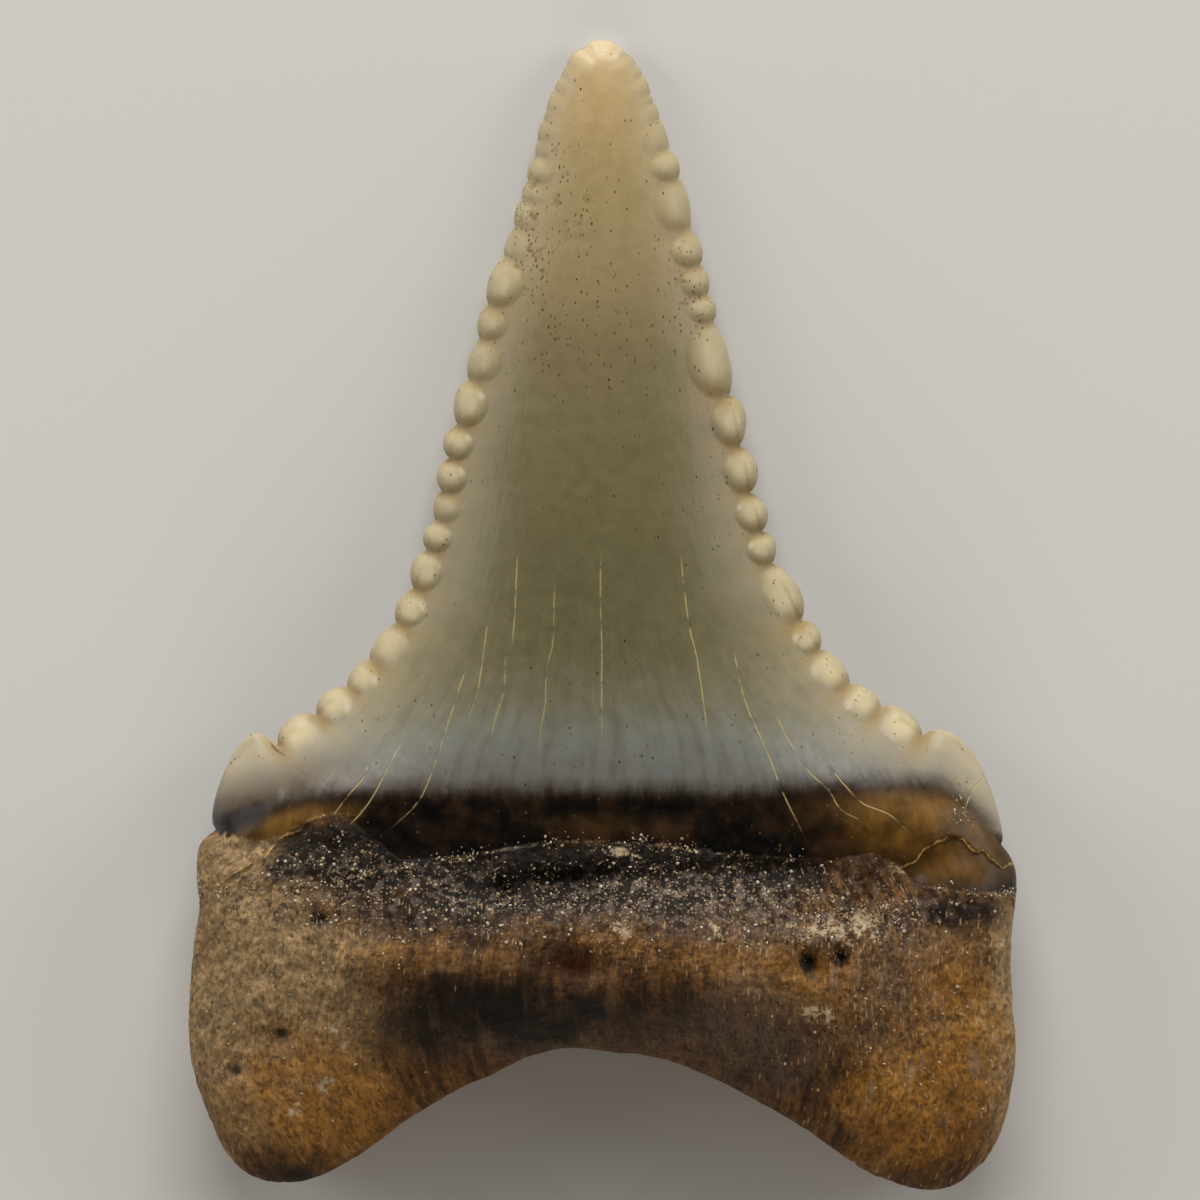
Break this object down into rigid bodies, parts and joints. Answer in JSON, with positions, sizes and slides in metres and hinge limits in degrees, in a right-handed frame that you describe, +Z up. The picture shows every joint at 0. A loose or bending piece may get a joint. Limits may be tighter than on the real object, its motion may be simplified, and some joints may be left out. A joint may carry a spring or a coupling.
{
  "type": "fossil shark tooth",
  "caption": "Fossil shark tooth lying on its flatter face: a serrated triangular enamel crown, a dark band and a two-lobed porous root.",
  "frame": {"origin": "middle of the bounding box's bottom, on the surface the tooth lies on", "axes": "+Y from the root to the tip, +X to the right when the domed lingual face is seen from above, +Z up out of that face"},
  "size_m": [0.0188, 0.0262, 0.0048],
  "materials": {
    "fossil_tooth": "glossy fossil enamel, cream at the serrations and grey-green in the middle, over a matt, grainy brown root"
  },
  "bodies": {
    "root": {"tooth": "fossil_tooth"}
  },
  "joints": []
}
